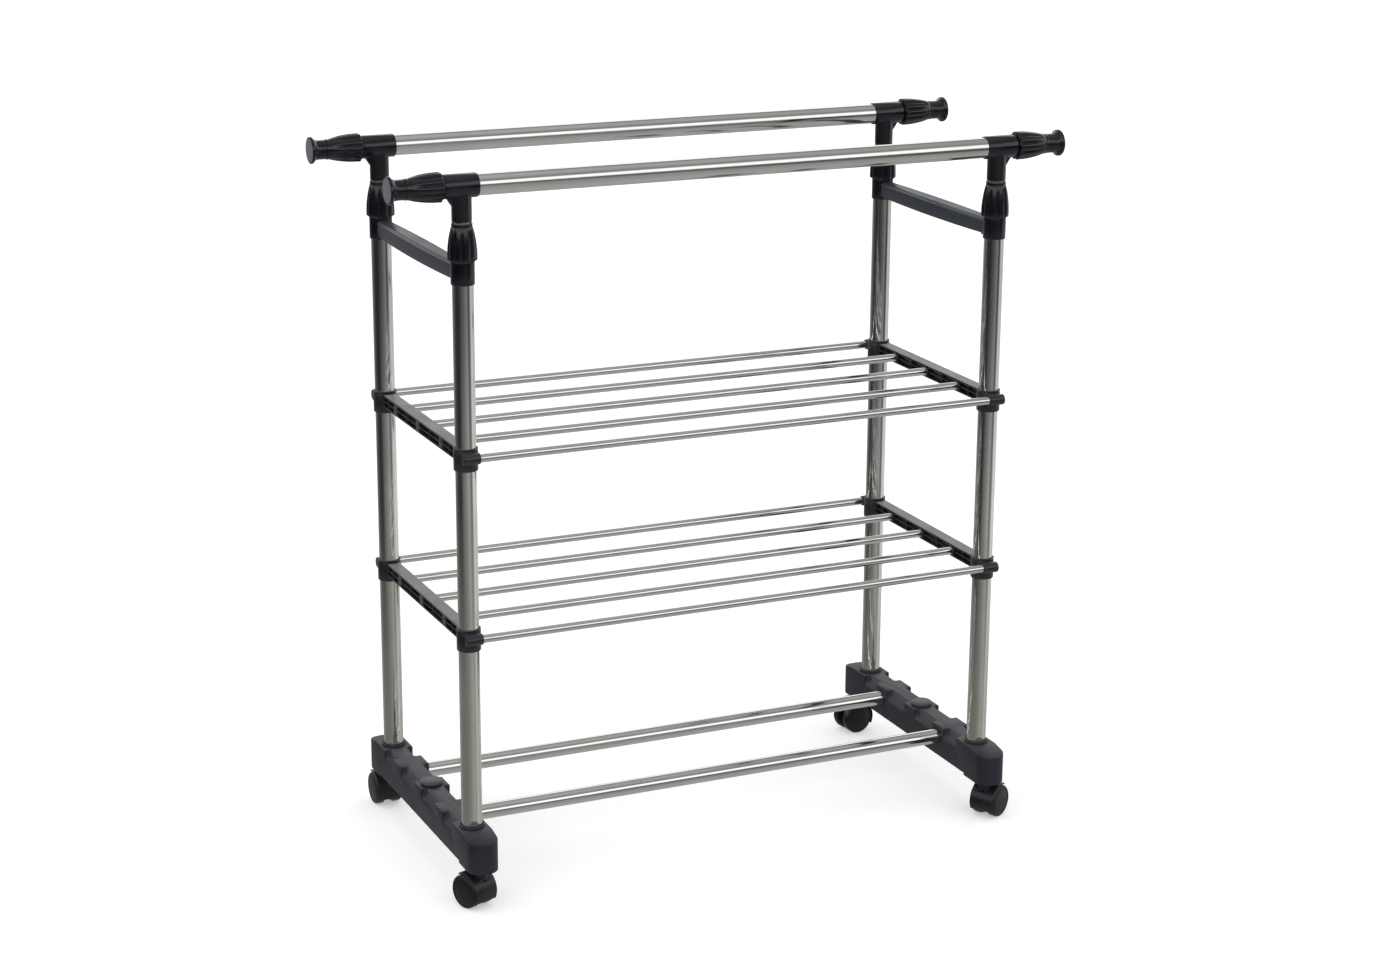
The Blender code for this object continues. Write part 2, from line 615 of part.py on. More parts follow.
def build_rails():
    nut = nut_mesh()
    tee = tee_mesh()
    end_cap = end_cap_mesh()
    rail = moved(tube(POST_TUBE, 2 * RAIL_END), turn=ALONG_X)
    inner_post = tube(INNER_TUBE, INNER_TOP - INNER_BOTTOM)
    extension_length = CAP_INSIDE - FIT - EXTENSION_INNER
    extension = moved(tube(INNER_TUBE, extension_length), turn=ALONG_X)
    for row, sy in ROWS.items():
        y = sy * HALF_Y
        lift = empty(f"lift_{row}", (0, y, RAIL_HEIGHT))
        node(f"rail_{row}", rail, "chrome", parent=lift)
        for side, sx in SIDES.items():
            place = (sx * HALF_X, 0, (INNER_TOP + INNER_BOTTOM) / 2 - RAIL_HEIGHT)
            node(f"inner_post_{row}_{side}", inner_post, "chrome", place, parent=lift)
            flip = (0, 0, 0 if sx > 0 else math.pi)
            place = (sx * HALF_X, 0, 0)
            node(f"tee_{row}_{side}", tee, "black_gloss", place, flip, lift)
            lay = (0, sx * math.pi / 2, 0)
            place = (sx * NUT_X, 0, 0)
            node(f"rail_lock_{row}_{side}", nut, "black_gloss", place, lay, lift)
            place = (sx * (CAP_INSIDE - FIT - extension_length / 2), 0, 0)
            node(f"extension_rod_{row}_{side}", extension, "chrome", place, parent=lift)
            place = (sx * SLEEVE_X, 0, 0)
            node(f"end_cap_{row}_{side}", end_cap, "end_plastic", place, lay, lift)
            place = (sx * HALF_X, y, NUT_BOTTOM)
            node(f"post_lock_{row}_{side}", nut, "black_gloss", place)


def main():
    for obj in list(bpy.data.objects):
        bpy.data.objects.remove(obj)
    frame = empty("frame")
    build_base(frame)
    build_shelves(frame)
    build_handles(frame)
    build_rails()


main()
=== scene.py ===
# %% [markdown]
# # A rolling clothes rack
#
# The rack is polished steel tube held together by moulded plastic. Two slate-grey beams stand on
# casters and hold four posts. Black brackets carry two shelves of thin rods, black handles tie
# the post tops together, and two rails lift and lengthen behind twist locks.
#
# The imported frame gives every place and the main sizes. Each kind of piece is modelled here once,
# with the operations of edit mode, and then copied to every place where the frame holds one.

# %% Load the frame
import json
import math

import bmesh
import bpy
from mathutils import Matrix, Vector

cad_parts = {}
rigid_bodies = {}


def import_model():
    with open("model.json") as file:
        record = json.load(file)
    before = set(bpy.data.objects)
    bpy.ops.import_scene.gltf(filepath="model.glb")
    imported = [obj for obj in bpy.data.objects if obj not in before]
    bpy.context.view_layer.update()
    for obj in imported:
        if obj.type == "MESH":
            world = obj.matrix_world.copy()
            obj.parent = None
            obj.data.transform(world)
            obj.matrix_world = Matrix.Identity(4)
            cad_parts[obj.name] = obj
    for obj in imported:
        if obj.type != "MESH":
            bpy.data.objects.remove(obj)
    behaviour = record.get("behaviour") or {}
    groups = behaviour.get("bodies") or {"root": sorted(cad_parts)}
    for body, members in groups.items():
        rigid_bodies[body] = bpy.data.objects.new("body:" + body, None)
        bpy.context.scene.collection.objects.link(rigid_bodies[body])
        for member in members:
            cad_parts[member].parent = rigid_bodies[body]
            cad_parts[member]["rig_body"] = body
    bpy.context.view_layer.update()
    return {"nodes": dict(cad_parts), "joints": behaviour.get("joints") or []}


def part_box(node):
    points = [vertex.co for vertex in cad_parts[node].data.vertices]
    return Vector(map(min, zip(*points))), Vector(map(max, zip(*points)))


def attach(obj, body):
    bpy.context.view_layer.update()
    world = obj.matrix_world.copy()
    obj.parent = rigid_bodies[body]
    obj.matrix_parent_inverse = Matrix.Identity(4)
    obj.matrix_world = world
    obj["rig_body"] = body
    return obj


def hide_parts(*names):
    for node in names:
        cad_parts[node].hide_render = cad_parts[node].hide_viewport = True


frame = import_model()

# %% [markdown]
# ## Places and sizes
#
# A box around a node says where it is and how big it is, and a joint says where its axis runs.
# Millimetres are easier to think in than metres, so small sizes are written as a number times MM.

# %% Read the main sizes
MM = 0.001
SIDES = {"left": -1, "right": 1}
ROWS = {"front": -1, "back": 1}
LEVELS = ("lower", "upper")


def middle(node):
    low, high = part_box(node)
    return (low + high) / 2


def extent(node):
    low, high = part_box(node)
    return high - low


post_at = {(row, side): middle(f"post_{row}_{side}") for row in ROWS for side in SIDES}
half_x = post_at["back", "right"].x
half_y = post_at["back", "right"].y
post_radius = 12.5 * MM
inner_radius = 9.5 * MM
rod_radius = 5 * MM
rail_height = middle("rail_front").z
joint_at = {joint["name"]: joint for joint in frame["joints"]}
print(f"posts at x {half_x:.4f} and y {half_y:.4f}, rails {rail_height:.3f} above the floor")

# %% [markdown]
# ## Working in edit mode
#
# An operator works on whatever is selected, so each step starts with nothing selected, and then
# picks its faces, edges or points by where they are. These few helpers do just that. A finished
# piece keeps its place in its mesh: its object stays at the origin.

# %% Edit-mode helpers
ROUND = 48
SMOOTH = math.radians(32)  # edges that are blunter than this are shaded as one surface


def active(obj):
    """Make obj the only selected object, in object mode."""
    if bpy.context.mode != "OBJECT":
        bpy.ops.object.mode_set(mode="OBJECT")
    bpy.ops.object.select_all(action="DESELECT")
    bpy.context.view_layer.objects.active = obj
    obj.select_set(True)


def edit(obj, kind="FACE"):
    """Enter edit mode on obj with nothing selected."""
    active(obj)
    bpy.ops.object.mode_set(mode="EDIT")
    bpy.ops.mesh.select_mode(type=kind)
    bpy.ops.mesh.select_all(action="DESELECT")


def pick(obj, test, kind="faces"):
    """Select the faces, edges or verts of obj that pass the test, and nothing else."""
    mesh = bmesh.from_edit_mesh(obj.data)
    for part in (*mesh.verts, *mesh.edges, *mesh.faces):
        part.select = False
    found = [part for part in getattr(mesh, kind) if test(part)]
    for part in found:
        part.select_set(True)
    bmesh.update_edit_mesh(obj.data)
    return len(found)


def start(name, add, **settings):
    """Add a primitive with nothing else selected, and name it."""
    if bpy.context.mode != "OBJECT":
        bpy.ops.object.mode_set(mode="OBJECT")
    bpy.ops.object.select_all(action="DESELECT")
    add(**settings)
    obj = bpy.context.active_object
    obj.name = obj.data.name = name
    return obj


def block(name, low, high):
    """A box between two corners."""
    low, high = Vector(low), Vector(high)
    obj = start(name, bpy.ops.mesh.primitive_cube_add, size=1, location=(low + high) / 2)
    obj.scale = high - low
    settle(obj)
    return obj


def settle(obj):
    """Put the object's place, turn and size into its mesh."""
    active(obj)
    bpy.ops.object.transform_apply(location=True, rotation=True, scale=True)


def turned(name, steps, at=(0, 0, 0), columns=ROUND):
    """A lathe shape about Z, as a sequence of (radius, height) steps between two round faces."""
    radius, height = steps[0]
    obj = start(
        name, bpy.ops.mesh.primitive_circle_add, vertices=columns, radius=radius,
        fill_type="NGON", location=(0, 0, height),
    )
    settle(obj)
    edit(obj)
    bpy.ops.mesh.select_all(action="SELECT")
    for wide, high in steps[1:]:
        bpy.ops.mesh.extrude_region_move(TRANSFORM_OT_translate={"value": (0, 0, high - height)})
        grow = wide / radius
        bpy.ops.transform.resize(value=(grow, grow, 1), center_override=(0, 0, high))
        radius, height = wide, high
    bpy.ops.mesh.select_all(action="SELECT")
    bpy.ops.mesh.normals_make_consistent(inside=False)
    bpy.ops.object.mode_set(mode="OBJECT")
    place(obj, Matrix.Translation(at))
    return obj


def place(obj, matrix):
    """Move the mesh itself, so that the object stays at the origin."""
    obj.data.transform(matrix)
    if matrix.determinant() < 0:
        obj.data.flip_normals()
    obj.data.update()
    return obj


def modify(obj, kind, **settings):
    """Add a modifier and apply it at once."""
    active(obj)
    modifier = obj.modifiers.new(kind.lower(), kind)
    for key, value in settings.items():
        setattr(modifier, key, value)
    bpy.ops.object.modifier_apply(modifier=modifier.name)


def weld(obj):
    edit(obj, "VERT")
    bpy.ops.mesh.select_all(action="SELECT")
    bpy.ops.mesh.remove_doubles(threshold=0.002 * MM)
    bpy.ops.mesh.dissolve_degenerate(threshold=0.002 * MM)
    bpy.ops.mesh.normals_make_consistent(inside=False)
    bpy.ops.object.mode_set(mode="OBJECT")


def unite(obj, *others):
    return carve(obj, *others, operation="UNION")


def carve(obj, *others, operation="DIFFERENCE"):
    """Cut the other shapes from obj, or join them to it, and remove them."""
    for other in others:
        modify(obj, "BOOLEAN", operation=operation, object=other)
        bpy.data.objects.remove(other)
        weld(obj)
    return obj


def soften(obj, width, segments=2, angle=35):
    """Round the edges that are sharper than the angle."""
    modify(
        obj, "BEVEL", width=width, segments=segments, limit_method="ANGLE",
        angle_limit=math.radians(angle), use_clamp_overlap=True, harden_normals=False,
    )
    active(obj)
    bpy.ops.object.shade_smooth_by_angle(angle=SMOOTH)
    return obj


def copy(obj, name, matrix=None):
    other = obj.copy()
    other.data = obj.data.copy()
    other.name = other.data.name = name
    bpy.context.scene.collection.objects.link(other)
    return place(other, matrix or Matrix.Identity(4))


def shift(x=0.0, y=0.0, z=0.0):
    return Matrix.Translation((x, y, z))


def turn(degrees, axis="Z"):
    return Matrix.Rotation(math.radians(degrees), 4, axis)


TO_RIGHT = turn(90, "Y")
TO_BACK = turn(-90, "X")


def mount(obj, body, *nodes, slot, finish):
    """The piece rides on a body, stands for its CAD nodes and takes a finish."""
    obj.data.materials.clear()
    obj.data.materials.append(finish)
    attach(obj, body)
    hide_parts(*nodes)

# %% [markdown]
# ## Finishes
#
# A finish is a tree of shader nodes. Drawing one by hand means adding a node, setting it up and
# wiring it, so one method does that here. Sums of values are written as plain sums: a Wire is an
# output socket that adds a Math node whenever it is added, multiplied and so on.


# %% Wires and finishes
class Wire:
    """An output socket that can stand in a sum."""

    def __init__(self, finish, socket):
        self.finish = finish
        self.socket = socket

    def math(self, operation, first, second):
        return self.finish.node("Math", {"operation": operation}, {0: first, 1: second})

    def __add__(self, other):
        return self.math("ADD", self, other)

    def __radd__(self, other):
        return self.math("ADD", other, self)

    def __sub__(self, other):
        return self.math("SUBTRACT", self, other)

    def __rsub__(self, other):
        return self.math("SUBTRACT", other, self)

    def __mul__(self, other):
        return self.math("MULTIPLY", self, other)

    def __rmul__(self, other):
        return self.math("MULTIPLY", other, self)

    def __truediv__(self, other):
        return self.math("DIVIDE", self, other)

    def __gt__(self, other):
        return self.math("GREATER_THAN", self, other)


class Finish:
    """A node tree, in a material or in the world."""

    def __init__(self, owner):
        owner.use_nodes = True
        self.owner = owner
        self.tree = owner.node_tree

    def node(self, kind, settings=None, inputs=None, out=0):
        """Add a node, set it up, fill or link its sockets, and give one of its outputs."""
        node = self.tree.nodes.new("ShaderNode" + kind)
        for key, value in (settings or {}).items():
            if key == "stops":
                self.fill_ramp(node.color_ramp, value)
            else:
                setattr(node, key, value)
        for key, value in (inputs or {}).items():
            self.plug(node.inputs[key], value)
        return Wire(self, node.outputs[out])

    def fill_ramp(self, ramp, stops):
        while len(ramp.elements) < len(stops):
            ramp.elements.new(1.0)
        for element, (position, level) in zip(ramp.elements, stops):
            element.position = position
            element.color = (*level, 1) if hasattr(level, "__len__") else (level, level, level, 1)

    def plug(self, socket, value):
        if isinstance(value, Wire):
            self.tree.links.new(value.socket, socket)
        elif socket.type == "RGBA":
            socket.default_value = (*value, 1)
        else:
            socket.default_value = value

    def noise(self, where, scale, detail=3.0, roughness=0.5):
        settings = {"Vector": where, "Scale": scale, "Detail": detail, "Roughness": roughness}
        return self.node("TexNoise", None, settings)

    def level(self, value, low, high, to_low=0.0, to_high=1.0):
        """Stretch part of a value's range to a new range, and hold it there."""
        return self.node("MapRange", None, {0: value, 1: low, 2: high, 3: to_low, 4: to_high})

    def mix(self, share, first, second):
        return self.node("Mix", {"data_type": "RGBA"}, {0: share, 6: first, 7: second}, out=2)


def surface(name, metallic=0.0, **fixed):
    """A new material whose shader has these fixed values, as (finish, shader node)."""
    finish = Finish(bpy.data.materials.new(name))
    shader = finish.tree.nodes["Principled BSDF"]
    shader.inputs["Metallic"].default_value = metallic
    for key, value in fixed.items():
        shader.inputs[key.replace("_", " ")].default_value = value
    return finish, shader


def bump(finish, height, strength, distance):
    """Turn a height into a bumped normal. The distance is the depth in metres at full height."""
    return finish.node("Bump", None, {"Height": height, "Strength": strength, "Distance": distance})


# %% [markdown]
# ### Polished tube
#
# The tubes are bright steel that was polished on a belt, so the faint marks run round the tube.
# Under them the gloss wanders a little from handling. Stretching noise along one direction makes
# such marks: the pattern changes quickly along the tube, and slowly around it.


# %% Polished steel
def polished_steel(name, along):
    finish, shader = surface(name, metallic=1.0)
    where = finish.node("TexCoord", out="Object")
    stretch = [60.0, 60.0, 60.0]
    stretch["XYZ".index(along)] = 2600.0
    belt = finish.node("Mapping", None, {"Vector": where, "Scale": stretch})
    marks = finish.noise(belt, 1.0, detail=2.0)
    smudges = finish.noise(where, 14.0, detail=5.0, roughness=0.62)
    gloss = finish.level(smudges, 0.38, 0.72, 0.045, 0.115) + marks * 0.035
    tint = finish.mix(finish.level(smudges, 0.3, 0.8), (0.80, 0.80, 0.785), (0.72, 0.715, 0.69))
    finish.plug(shader.inputs["Base Color"], tint)
    finish.plug(shader.inputs["Roughness"], gloss)
    finish.plug(shader.inputs["Normal"], bump(finish, marks, 0.25, 0.00001))
    return finish.owner


steel_upright = polished_steel("polished_steel_upright", "Z")
steel_level = polished_steel("polished_steel_level", "X")
print("finishes:", steel_upright.name, steel_level.name)

# %% [markdown]
# ### Moulded plastic
#
# All the mouldings share one recipe. A fine grain breaks up the shine, as an etched mould leaves
# it; a slow variation in gloss and shade keeps large faces from looking painted; and a little
# pale dust lies on what faces upwards. The beams have a deep grain and hardly any shine, and the
# black fittings are nearly smooth and glossy.


# %% Plastics
def moulded(name, shade, worn, gloss, grain, depth, dust=0.0, coat=0.0, sheen=0.5):
    """gloss is the (least, most) roughness; grain is per metre, and depth is in metres."""
    finish, shader = surface(
        name, Coat_Weight=coat, Coat_Roughness=0.12, Specular_IOR_Level=sheen
    )
    where = finish.node("TexCoord", out="Object")
    slow = finish.noise(where, 22.0, detail=4.0, roughness=0.6)
    fine = finish.noise(where, grain, detail=2.0)
    scuffs = finish.node("Mapping", None, {"Vector": where, "Scale": (900.0, 70.0, 420.0)})
    scuffs = finish.level(finish.noise(scuffs, 1.0, detail=4.0, roughness=0.7), 0.62, 0.80)
    normal = finish.node("NewGeometry", out="Normal")
    up = finish.node("SeparateXYZ", None, {0: normal}, out=2)
    settled = finish.level(up, 0.25, 0.95) * finish.level(slow, 0.35, 0.75) * dust
    color = finish.mix(finish.level(slow, 0.35, 0.70), shade, worn)
    color = finish.mix(scuffs * 0.22, color, [channel * 2.2 + 0.01 for channel in worn])
    color = finish.mix(settled, color, (0.30, 0.31, 0.33))
    roughness = finish.level(slow, 0.3, 0.75, *gloss) + scuffs * 0.12 + settled * 0.3
    finish.plug(shader.inputs["Base Color"], color)
    finish.plug(shader.inputs["Roughness"], roughness)
    finish.plug(shader.inputs["Normal"], bump(finish, fine, 0.5, depth))
    return finish.owner


slate = moulded(
    "slate_moulding", (0.0090, 0.0112, 0.0175), (0.0135, 0.0165, 0.0245), (0.36, 0.50), 1500.0,
    0.00010, dust=0.07, sheen=0.38,
)
black = moulded(
    "black_gloss_moulding", (0.0018, 0.0022, 0.0050), (0.0032, 0.0038, 0.0078), (0.16, 0.27),
    700.0, 0.00003, dust=0.015, coat=0.3, sheen=0.42,
)
satin = moulded(
    "satin_handle_moulding", (0.016, 0.020, 0.030), (0.023, 0.028, 0.040), (0.30, 0.42), 1300.0,
    0.00006, dust=0.05,
)
bracket_black = moulded(
    "bracket_moulding", (0.0060, 0.0064, 0.0085), (0.0100, 0.0105, 0.0135), (0.24, 0.40), 900.0,
    0.00005, dust=0.05, coat=0.2,
)
pale = moulded(
    "end_disc_moulding", (0.085, 0.095, 0.115), (0.105, 0.115, 0.135), (0.38, 0.50), 1200.0,
    0.00006, dust=0.04,
)
button = moulded(
    "cap_moulding", (0.050, 0.055, 0.062), (0.062, 0.068, 0.076), (0.40, 0.52), 1300.0, 0.00006,
    dust=0.08,
)
hood_black = moulded(
    "caster_hood_moulding", (0.0060, 0.0068, 0.0085), (0.0095, 0.0105, 0.0130), (0.30, 0.44),
    1300.0, 0.00006, dust=0.03, sheen=0.4,
)
wheel_black = moulded(
    "wheel_moulding", (0.0040, 0.0043, 0.0050), (0.0070, 0.0074, 0.0082), (0.28, 0.42), 800.0,
    0.00006, dust=0.03, sheen=0.42,
)

# %% [markdown]
# ## Tubes
#
# A tube is a cylinder that is bored right through, so that a thinner one can slide inside it:
# both end faces are inset by the wall and bridged to each other, and the rims are then rounded a
# little, as a deburred tube end is. Smoothing stops at the rim: if it ran over, it would tilt the
# shading all along the tube and bend what the polish mirrors.


# %% Tubes
WALL, ROD_WALL = 1 * MM, 0.8 * MM
RIM = 0.25 * MM
RIM_ANGLE = math.radians(15)


def pipe(name, radius, wall, length):
    """A tube along Z, centred on the origin."""
    obj = start(
        name, bpy.ops.mesh.primitive_cylinder_add, vertices=ROUND, radius=radius, depth=length
    )
    edit(obj)
    pick(obj, lambda face: abs(face.normal.z) > 0.9)
    bpy.ops.mesh.inset(thickness=wall)
    bpy.ops.mesh.bridge_edge_loops()
    bpy.ops.mesh.select_all(action="SELECT")
    bpy.ops.mesh.normals_make_consistent(inside=False)
    edit(obj, "EDGE")
    at_rim = length / 2 - 0.1 * MM
    rim = lambda edge: all(abs(vert.co.z) > at_rim for vert in edge.verts) and abs(
        math.hypot(*edge.verts[0].co.xy) - math.hypot(*edge.verts[1].co.xy)
    ) < 1e-5
    pick(obj, rim, "edges")
    bpy.ops.mesh.bevel(offset=RIM, segments=2, affect="EDGES")
    active(obj)
    bpy.ops.object.shade_smooth_by_angle(angle=RIM_ANGLE)
    return obj


def tubes(radius, wall, kind, along, finish):
    """One tube for every node of a kind, as long as its node is."""
    for node in sorted(frame["nodes"]):
        if not node.startswith(kind):
            continue
        center, size = middle(node), extent(node)
        length = size["XYZ".index(along)]
        obj = pipe(f"{node}_tube", radius, wall, length)
        place(obj, Matrix.Translation(center) @ (TO_RIGHT if along == "X" else shift()))
        body = frame["nodes"][node]["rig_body"]
        mount(obj, body, node, slot="chrome", finish=finish)
        made.append(obj.name)


made = []
for kind in ("post_front", "post_back", "inner_post"):
    tubes(inner_radius if kind == "inner_post" else post_radius, WALL, kind, "Z", steel_upright)
for kind in ("rail_front", "rail_back", "extension_rod"):
    tubes(inner_radius if kind == "extension_rod" else post_radius, WALL, kind, "X", steel_level)
tubes(inner_radius, WALL, "cross_tube", "X", steel_level)
for level in LEVELS:
    tubes(rod_radius, ROD_WALL, f"{level}_rod", "X", steel_level)
print(len(made), "tubes and rods")

# %% [markdown]
# ## Base beams
#
# Each beam is one moulding. A block gets its rounded ends by beveling its four upright edges.
# Leaning cutters then take the long chamfers off the top. They stop short of the centre boss, the
# cross tubes and the end blocks, and their own rounded ends leave the soft notches seen there.
# Last come the sloping tips, the step underneath, the lips round the posts and the sockets.

# %% One beam, copied to the other side
beam_low, beam_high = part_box("base_beam_left")
beam_size = extent("base_beam_left")
half_beam, beam_end = beam_size.x / 2, beam_size.y / 2
LIP_RISE = 2.5 * MM
beam_top = beam_high.z - LIP_RISE
tube_y = middle("cross_tube_back").y
tube_z = middle("cross_tube_back").z
RIDGE = 10 * MM  # half the width of the flat that the chamfers leave on top
SHOULDER = 14 * MM  # how far down a chamfer reaches
CHAMFERS = ((15, 62.5), (94, 126))  # where the chamfers run, in millimetres from the middle
CORNER = 16 * MM
TIP_SLOPE = 10.5
STEP = 3 * MM


def chamfer_cutter(first, last, side):
    """A rounded block that leans on the beam's upper edge from y = first to y = last."""
    lean = math.degrees(math.atan2(SHOULDER, half_beam - RIDGE))
    cutter = block("chamfer", (-20 * MM, first, 0), (20 * MM, last, 20 * MM))
    edit(cutter, "EDGE")
    pick(cutter, lambda edge: abs(edge.verts[0].co.y - edge.verts[1].co.y) < 1e-6 and
         max(vert.co.z for vert in edge.verts) < 1e-6, "edges")
    bpy.ops.mesh.bevel(offset=2.2 * MM, segments=4, affect="EDGES")
    settle(cutter)
    at = shift((RIDGE + half_beam) / 2, 0, beam_top - SHOULDER / 2) @ turn(lean, "Y")
    return place(cutter, Matrix.Diagonal((side, 1, 1, 1)) @ at)


def base_beam():
    """The left beam, standing at x = 0 with its sockets towards +X."""
    beam = block("beam", (-half_beam, -beam_end, beam_low.z), (half_beam, beam_end, beam_top))
    edit(beam, "EDGE")
    upright = lambda edge: abs(edge.verts[0].co.z - edge.verts[1].co.z) > 10 * MM
    pick(beam, upright, "edges")
    bpy.ops.mesh.bevel(offset=CORNER, segments=10, affect="EDGES")
    for first, last in CHAMFERS:
        for end in (1, -1):
            span = sorted((end * first * MM, end * last * MM))
            carve(beam, chamfer_cutter(*span, 1), chamfer_cutter(*span, -1))
    for end in (1, -1):
        fall = turn(-end * TIP_SLOPE, "X")
        tip = block("tip", (-30 * MM, -40 * MM, 0), (30 * MM, 60 * MM, 30 * MM))
        if end < 0:
            place(tip, turn(180))
        carve(beam, place(tip, shift(0, end * (half_y + 17 * MM), beam_top) @ fall))
    underside = half_y + 3 * MM
    carve(beam, block("step", (-1, -underside, -1), (1, underside, beam_low.z + STEP)))
    soften(beam, 1.3 * MM, 3, 28)
    for end in (1, -1):
        lip = [(15.5, -3), (15.5, 1.7), (15.2, 2.2), (14.7, 2.5), (13.6, 2.5), (13.4, 1.0)]
        lip = turned("lip", [(r * MM, z * MM) for r, z in lip], (0, end * half_y, beam_top))
        unite(beam, lip)
        sink = turned("sink", [(13.3 * MM, 0), (13.3 * MM, 5 * MM)], (0, end * half_y, beam_top))
        well = turned(
            "well", [(12.7 * MM, 0), (12.7 * MM, 50 * MM)], (0, end * half_y, beam_low.z + 12 * MM)
        )
        carve(beam, sink, well)
        for radius, depth in ((10.4, 0.8), (9.75, 16)):
            hole = turned("hole", [(radius * MM, 0), (radius * MM, (depth + 1) * MM)])
            place(hole, shift(half_beam - depth * MM, end * tube_y, tube_z) @ TO_RIGHT)
            carve(beam, hole)
        pin = turned("pin", [(5.4 * MM, -1 * MM), (5.4 * MM, 23 * MM)])
        carve(beam, place(pin, shift(0, end * (beam_end - 22 * MM), beam_low.z)))
    peg = turned("peg", [(4.4 * MM, -9 * MM), (4.4 * MM, 5 * MM)])
    carve(beam, place(peg, shift(z=beam_top)))
    active(beam)
    bpy.ops.object.shade_smooth_by_angle(angle=SMOOTH)
    return beam


beam = base_beam()
for side, sign in SIDES.items():
    at = shift(sign * half_x) @ turn(0 if side == "left" else 180)
    moulding = copy(beam, f"{side}_beam_moulding", at)
    mount(moulding, "frame", f"base_beam_{side}", slot="slate_plastic", finish=slate)
bpy.data.objects.remove(beam)
print("beam:", len(moulding.data.polygons), "faces,", [round(d, 4) for d in moulding.dimensions])

# %% [markdown]
# ## Centre buttons
#
# A button covers the screw in the middle of each beam. It is a lathe shape: a thin shadow gap, a
# short upright rim, and a shallow dome above.

# %% Centre buttons
BUTTON = [
    (12.4, 0.35), (13.6, 0.5), (14.0, 1.0), (14.0, 2.9), (13.7, 3.7), (12.9, 4.3), (11.2, 4.8),
    (8.5, 5.15), (5.0, 5.4), (2.0, 5.5),
]
for side, sign in SIDES.items():
    dome = turned(f"{side}_beam_button", [(r * MM, z * MM) for r, z in BUTTON])
    unite(dome, turned("peg", [(4 * MM, -8 * MM), (4 * MM, 2 * MM)]))
    place(dome, shift(sign * half_x, 0, beam_top))
    active(dome)
    bpy.ops.object.shade_smooth_by_angle(angle=SMOOTH)
    mount(dome, "frame", f"base_cap_{side}", slot="cap_plastic", finish=button)
print("button:", [round(d, 4) for d in dome.dimensions])

# %% [markdown]
# ## Shelf brackets
#
# A bracket is a ribbed bar between two collars. Its top is a flat flange, and both of its sides
# are open cells: a rib runs along the middle of each side, and upright ribs stand where the rods
# enter and halfway between them. The cells of one bay are cut at once, with one cutter.

# %% One bracket, copied to its four places
names = ("front", "middle_1", "middle_2", "middle_3", "back")
rod_ys = [middle(f"lower_rod_{name}").y for name in names]
half_bar = 8 * MM
RIB = 0.7 * MM  # half of a rib's thickness
WEB = 2.2 * MM  # half of what stays between the cells of the two sides


def gathered(name, *parts):
    """Several separate shapes as one object."""
    active(parts[0])
    for part in parts[1:]:
        part.select_set(True)
    bpy.ops.object.join()
    parts[0].name = parts[0].data.name = name
    return parts[0]


def bay_cells(near, far, side):
    """The four cells on one side of a bay, above and below the middle rib."""
    parts = []
    center = (near + far) / 2
    for first, last in ((near, center - RIB), (center + RIB, far)):
        for low, high in ((-6.1 * MM, -RIB), (RIB, 5.6 * MM)):
            inner, outer = sorted((side * WEB, side * 12 * MM))
            parts.append(block("cell", (inner, first, low), (outer, last, high)))
    return gathered("cells", *parts)


def shelf_bracket():
    """A bracket with its rod axes at height 0 and its rod sockets towards +X."""
    bar = block("bar", (-half_bar, -half_y, -half_bar), (half_bar, half_y, half_bar))
    reach = half_y - 15.5 * MM
    stops = [-reach, *rod_ys[1:-1], reach]
    for before, after in zip(stops, stops[1:]):
        near = before + (6.2 * MM if before > -reach else 1 * MM)
        far = after - (6.2 * MM if after < reach else 1 * MM)
        carve(bar, bay_cells(near, far, 1), bay_cells(near, far, -1))
    soften(bar, 0.45 * MM, 2)
    collar = [
        (14.0, -17), (14.3, -16.7), (14.5, -16.2), (14.5, 6.6), (14.1, 7.4), (14.1, 8.2),
        (14.5, 9.0), (14.5, 9.7), (14.3, 10.0),
    ]
    for end in (1, -1):
        ring = turned("collar", [(r * MM, z * MM) for r, z in collar], (0, end * half_y, 0))
        lug = [(5.9, -10.5), (6.5, -10.2), (6.75, -9.6), (6.75, 9.6), (6.5, 10.2), (5.9, 10.5)]
        lug = turned("lug", [(r * MM, z * MM) for r, z in lug])
        unite(bar, ring, place(lug, shift(0, rod_ys[-1] * end) @ TO_RIGHT))
    for y in rod_ys[1:-1]:
        boss = [(6.6, 4), (6.6, 8.9), (6.3, 9.3), (5.9, 9.4)]
        boss = turned("boss", [(r * MM, z * MM) for r, z in boss])
        unite(bar, place(boss, shift(0, y) @ TO_RIGHT))
    for end in (1, -1):
        for radius, low, high in ((12.75, -20, 20), (13.6, 8.6, 12)):
            post = [(radius * MM, low * MM), (radius * MM, high * MM)]
            carve(bar, turned("post", post, (0, end * half_y, 0)))
    for y in rod_ys:
        hole = turned("hole", [(5.25 * MM, 0), (5.25 * MM, 16 * MM)])
        carve(bar, place(hole, shift(0, y) @ TO_RIGHT))
    active(bar)
    bpy.ops.object.shade_smooth_by_angle(angle=SMOOTH)
    return bar


bracket = shelf_bracket()
for level in LEVELS:
    for side, sign in SIDES.items():
        height = middle(f"{level}_rod_back").z
        at = shift(sign * half_x, 0, height) @ turn(0 if side == "left" else 180)
        moulding = copy(bracket, f"{level}_shelf_bracket_{side}", at)
        node = f"{level}_bracket_{side}"
        mount(moulding, "frame", node, slot="black_gloss", finish=bracket_black)
bpy.data.objects.remove(bracket)
print("bracket:", len(moulding.data.polygons), "faces")

